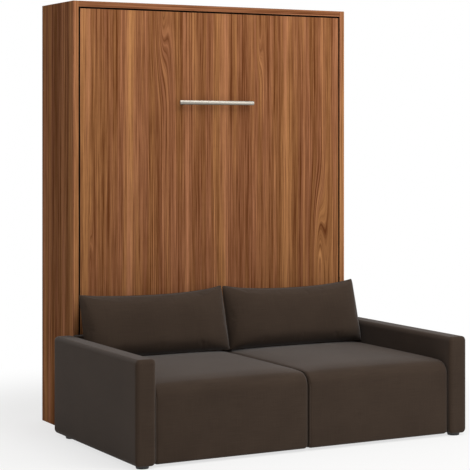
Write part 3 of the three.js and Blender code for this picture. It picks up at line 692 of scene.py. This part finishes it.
# Mattress straps: two bands of woven black webbing across the mattress, which hold it to the frame
# while the bed stands upright.
web_finish = Finish("webbing")
rib_width = 0.004
across_band = web_finish.parts("Object")[2]
rib = (across_band * (2.0 * np.pi / rib_width)).sine()
web_finish.set(
    Base_Color=web_finish.mix(0.5 + 0.5 * rib, rgb(24, 24, 26), rgb(48, 48, 51)),
    Roughness=0.76 + 0.08 * rib,
    Normal=web_finish.bump(rib, 0.0004, 0.6),
)
dress(web_finish.material, "mattress_strap_1", "mattress_strap_2")


# Sofa arms: padded boards in tight dark brown cloth, a dense weave with thicker threads here and
# there. Their top edges are softly rounded, and they stand beside the seats' outer sides.
def sofa_cloth(thread_width=0.0024):
    """Cloth by its map in metres. Threads cross as sin(u k) sin(v k), and slubs are long noise."""
    finish = Finish("brown_cloth", Specular_IOR_Level=0.04, Sheen_Weight=0.22, Sheen_Roughness=0.40)
    place = finish.add("Attribute", {"attribute_name": "cloth_map"}, output="Vector")
    u, v = (finish.add("SeparateXYZ", {}, {0: place}, output=axis) for axis in range(2))
    thread = 2.0 * np.pi / thread_width
    weave = (u * thread).sine() * (v * thread).sine()
    weft = finish.noise(finish.vector(u * 9.0, v * 420.0, 0.0), detail=2.0)
    warp = finish.noise(finish.vector(u * 420.0, v * 9.0, 5.0), detail=2.0)
    cloud = finish.noise(finish.vector(u, v, 9.0), scale=5.0, detail=3.0)
    tone = 0.5 + 0.6 * (weft - 0.5) + 0.5 * (warp - 0.5) + 0.5 * (cloud - 0.5) + 0.1 * weave
    finish.set(
        Base_Color=finish.mix(tone, rgb(48, 38, 31), rgb(73, 60, 50)),
        Roughness=0.84 + 0.1 * warp,
        Normal=finish.bump(0.4 * weave + weft + warp, 0.0004, 0.35),
    )
    return finish.material


cloth = sofa_cloth()


def map_cloth(made):
    """Lays the cloth's map over the piece: each face takes the two coordinates it lies nearest to."""
    mesh = made.data
    normals = np.empty(len(mesh.polygons) * 3)
    mesh.polygons.foreach_get("normal", normals)
    facing = np.abs(normals.reshape(-1, 3)).argmax(axis=1)
    sides = np.empty(len(mesh.polygons), int)
    mesh.polygons.foreach_get("loop_total", sides)
    corner = np.empty(len(mesh.loops), int)
    mesh.loops.foreach_get("vertex_index", corner)
    at = points_of(mesh)[corner]
    axis = np.repeat(facing, sides)
    across = np.where(axis == 0, at[:, 1], at[:, 0])
    up = np.where(axis == 2, at[:, 1], at[:, 2])
    layer = mesh.attributes.new("cloth_map", "FLOAT_VECTOR", "CORNER")
    layer.data.foreach_set("vector", np.stack([across, up, 0.0 * up], -1).ravel())


def points_of(mesh):
    """The mesh's points as rows."""
    flat = np.empty(len(mesh.vertices) * 3)
    mesh.vertices.foreach_get("co", flat)
    return flat.reshape(-1, 3)


def upholstered(name, points, faces, body, node, fill):
    """A padded piece in the sofa's cloth."""
    made = surface(name, points, faces, cloth)
    map_cloth(made)
    place_piece(made, body, "upholstery", node)


arm_rounding = (0.020, 0.014, 0.024)
arm_cells = (6, 60, 32)
for side in both_sides:
    points, faces = rounded_box(*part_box("arm_" + side), arm_rounding, arm_cells, arc=6)
    upholstered("arm_cover_" + side, points, faces, "cabinet_and_sofa", "arm_" + side, fill=1.0)


# Sofa back: a low padded board in the same cloth, upright between the arms. The loose cushions lean
# on it and hide most of it.
def padded_block(low, high, radii, edge, spacing=0.016, arc=6):
    """A block with this side view. At e (1 - sin a) from either end it is drawn in by e (1 - cos a),
    with e the edge's radius, and smaller copies of the last ring close the end."""
    outline, ways = rounded_outline(low[1:], high[1:], radii, spacing)
    turn = np.linspace(np.pi / 2, 0.0, arc + 1)
    inset, reach = edge * (1.0 - np.cos(turn)), edge * (1.0 - np.sin(turn))
    steps = round((high[0] - low[0]) / spacing)
    between = np.linspace(low[0] + edge, high[0] - edge, steps + 1)[1:-1]
    xs = np.concatenate([low[0] + reach, between, high[0] - reach[::-1]])
    insets = np.concatenate([inset, np.zeros(steps - 1), inset[::-1]])
    rings = np.empty((len(xs), len(outline), 3))
    rings[..., 0] = xs[:, None]
    rings[..., 1:] = outline - ways * insets[:, None, None]
    centre = np.array([(low[1] + high[1]) / 2, (low[2] + high[2]) / 2])
    cap_shares = np.array([0.9, 0.75, 0.55, 0.35, 0.15])[:, None, None]
    first = np.repeat(rings[:1], len(cap_shares), axis=0)
    last = np.repeat(rings[-1:], len(cap_shares), axis=0)
    first[..., 1:] = centre + (first[..., 1:] - centre) * cap_shares
    last[..., 1:] = centre + (last[..., 1:] - centre) * cap_shares
    rings = np.concatenate([first[::-1], rings, last])
    index = np.arange(rings[..., 0].size).reshape(rings.shape[:2])
    after = np.roll(index, -1, axis=1)
    quads = np.stack([index[:-1], index[1:], after[1:], after[:-1]], -1).reshape(-1, 4)
    poles = np.array([[low[0], *centre], [high[0], *centre]])
    pole = np.full(len(outline), index.size)
    ends = np.concatenate([
        np.stack([pole, index[0], after[0]], -1),
        np.stack([pole + 1, after[-1], index[-1]], -1),
    ])
    return np.concatenate([rings.reshape(-1, 3), poles]), quads.tolist() + ends.tolist()


back_radii, back_edge = (0.009, 0.009, 0.009, 0.020), 0.009
points, faces = padded_block(*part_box("sofa_back"), back_radii, back_edge)
upholstered("sofa_back_cover", points, faces, "cabinet_and_sofa", "sofa_back", fill=1.0)

# Seats: deep foam blocks under sewn covers. The top is crowned and rolls over into the front, and a
# fine welt runs along both side edges, where the side panels are sewn on.
seat_crown, seat_roll, seat_swell = 0.018, 0.012, 0.002
seat_radii = (0.018, 0.018, 0.024, 0.050)
seat_edge, seat_gap, seat_spacing = 0.016, 0.0025, 0.020
roll_start = 0.68
welt_radius, welt_inset, welt_spacing = 0.0034, 0.0042, 0.006
for side in both_sides:
    low, high = (np.array(corner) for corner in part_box("seat_" + side))
    flat_low = low + (seat_gap, seat_swell, 0.0)
    flat_high = high - (seat_gap, 0.0, seat_crown)
    points, faces = padded_block(flat_low, flat_high, seat_radii, seat_edge, seat_spacing)
    middle, half = (flat_low + flat_high) / 2, (flat_high - flat_low) / 2
    part = (points - middle) / half
    # The crown is nearly flat across. It falls off slowly towards the front and late at the back.
    along = np.abs(part[:, 1])
    fall = np.where(part[:, 1] < 0.0, 0.5 * along**1.5 + 0.5 * along**6, along**4)
    dome = (1.0 - np.abs(part[:, 0]) ** 5) * (1.0 - fall)
    roll = np.clip((-part[:, 1] - roll_start) / (1.0 - roll_start), 0.0, 1.0) ** 2
    points[:, 2] += (seat_crown * dome - seat_roll * roll) * np.clip(part[:, 2], 0.0, 1.0) ** 2
    front_dome = (1.0 - np.abs(part[:, 0]) ** 3) * (1.0 - np.abs(part[:, 2]) ** 3)
    points[:, 1] -= seat_swell * front_dome * np.clip(-part[:, 1], 0.0, 1.0) ** 4
    outline, ways = rounded_outline(flat_low[1:], flat_high[1:], seat_radii, welt_spacing)
    parts = [(points, faces)]
    for edge_x in (flat_low[0] + welt_inset, flat_high[0] - welt_inset):
        path = np.column_stack([np.full(len(outline), edge_x), outline - ways * welt_inset])
        parts.append(welt(path, points, welt_radius))
    upholstered("seat_cover_" + side, *joined(parts), "cabinet_and_sofa", "seat_" + side, fill=0.9)

# Back cushions: loose, filled with fibre, with a welted knife edge all round. They lean on the sofa's
# back, and their top edge sags between the pointed corners.
cushion_lean = math.radians(16.0)
half_height, front_thick, back_thick = 0.150, 0.071, 0.068
side_power, side_root = 5, 0.55
top_power, front_power, back_power, height_root = 2.6, 5.5, 3.4, 0.6
ear_power = 2.3
# An ear is how far a corner stands out past the middle of its edge. The cushions' inner ends reach a
# little past the CAD solids', so that the two nearly meet.
top_ears = {"left": (0.016, 0.028), "right": (0.026, 0.028)}
solid_top_ear, solid_bottom_ear = 0.015, 0.005
bottom_sag = 0.007
past_solid = {"left": (0.0, 0.0015), "right": (-0.0015, 0.0)}
cushion_welt = 0.0026
upwards = np.array([0.0, math.sin(cushion_lean), math.cos(cushion_lean)])
backwards = np.array([0.0, math.cos(cushion_lean), -math.sin(cushion_lean)])


def cushion_shape(side, columns=110, rows=44):
    """A pillow about the CAD cushion's middle: u and v run from -1 to 1 across and up its two faces,
    and half its thickness is t (1 - |u|^s)^a (1 - |v|^p)^b, with s and a for the sides and b for the
    height. Above the middle p is the top's power, and below it, where the filling has settled, the
    front's or the back's. The cushion's edge is returned too."""
    node = "back_cushion_" + side
    solid = points_of(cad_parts[node].data)
    up_reach, back_reach = solid @ upwards, solid @ backwards
    middle_up = (up_reach.max() + up_reach.min()) / 2 - (solid_top_ear - solid_bottom_ear) / 2
    middle_back = (back_reach.max() + back_reach.min()) / 2
    middle = upwards * middle_up + backwards * middle_back
    low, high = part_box(node)
    left_end, right_end = np.add((low[0], high[0]), past_solid[side])
    u = -np.cos(np.linspace(0.0, np.pi, columns + 1))[:, None]
    v = -np.cos(np.linspace(0.0, np.pi, rows + 1))[None, :]
    top = np.where(u > 0, top_ears[side][1], top_ears[side][0])
    reach = half_height + np.where(v > 0, top * np.abs(u) ** ear_power, bottom_sag)
    sheets = []
    for face, half_thick, settled in ((-1, front_thick, front_power), (1, back_thick, back_power)):
        full = (1.0 - np.abs(u) ** side_power) ** side_root
        full = full * (1.0 - np.abs(v) ** np.where(v > 0, top_power, settled)) ** height_root
        thick = face * half_thick * full
        place = middle + (v * reach)[..., None] * upwards + thick[..., None] * backwards
        place[..., 0] = (left_end + right_end) / 2 + u * (right_end - left_end) / 2
        sheets.append(place.reshape(-1, 3))
    index = np.arange(u.size * v.size).reshape(u.size, v.size)
    quads = np.stack([index[:-1, :-1], index[1:, :-1], index[1:, 1:], index[:-1, 1:]], -1).reshape(-1, 4)
    faces = np.concatenate([quads, quads[:, ::-1] + index.size])
    edge = np.concatenate([index[:-1, 0], index[-1, :-1], index[:0:-1, -1], index[0, :0:-1]])
    return *welded(np.concatenate(sheets), faces), sheets[0][edge]


def plumped(name, points, faces, voxel, pressure, frames, most, axes):
    """The shape after it is filled: an even mesh is blown up as cloth, without gravity, and a point
    that would move by d moves by m tanh(d / m), with m the most. It is then scaled along the axes,
    so that it reaches as far as before. Returns points and faces."""
    reach = points @ axes.T
    made = surface(name, points, faces, cloth)
    remesh = made.modifiers.new("even", "REMESH")
    remesh.mode = "VOXEL"
    remesh.voxel_size = voxel
    evened = made.evaluated_get(bpy.context.evaluated_depsgraph_get())
    made.data = bpy.data.meshes.new_from_object(evened)
    made.modifiers.clear()
    start = points_of(made.data)
    filling = made.modifiers.new("filling", "CLOTH")
    filling.settings.use_pressure = True
    filling.settings.uniform_pressure_force = pressure
    filling.settings.effector_weights.gravity = 0.0
    for number in range(frames):
        scene.frame_set(number + 1)
    moved = points_of(made.evaluated_get(bpy.context.evaluated_depsgraph_get()).data) - start
    scene.frame_set(1)
    far = np.linalg.norm(moved, axis=1, keepdims=True)
    end = (start + moved * (most * np.tanh(far / most) / np.maximum(far, 1e-9))) @ axes.T
    share = (end - end.min(axis=0)) / np.ptp(end, axis=0)
    shape = [list(polygon.vertices) for polygon in made.data.polygons]
    bpy.data.objects.remove(made)
    return (reach.min(axis=0) + share * np.ptp(reach, axis=0)) @ axes, shape


cushion_axes = np.array([[1.0, 0.0, 0.0], upwards, backwards])
cushion_voxel, cushion_pressure, filling_frames, cushion_most = 0.006, 4.0, 20, 0.006
for side in both_sides:
    points, faces, edge = cushion_shape(side)
    filling = (cushion_voxel, cushion_pressure, filling_frames, cushion_most, cushion_axes)
    points, faces = plumped("filled_" + side, points, faces, *filling)
    parts = [(points, faces), welt(edge, points, cushion_welt)]
    body, node = "cushion_" + side, "back_cushion_" + side
    upholstered("cushion_cover_" + side, *joined(parts), body, node, fill=0.6)
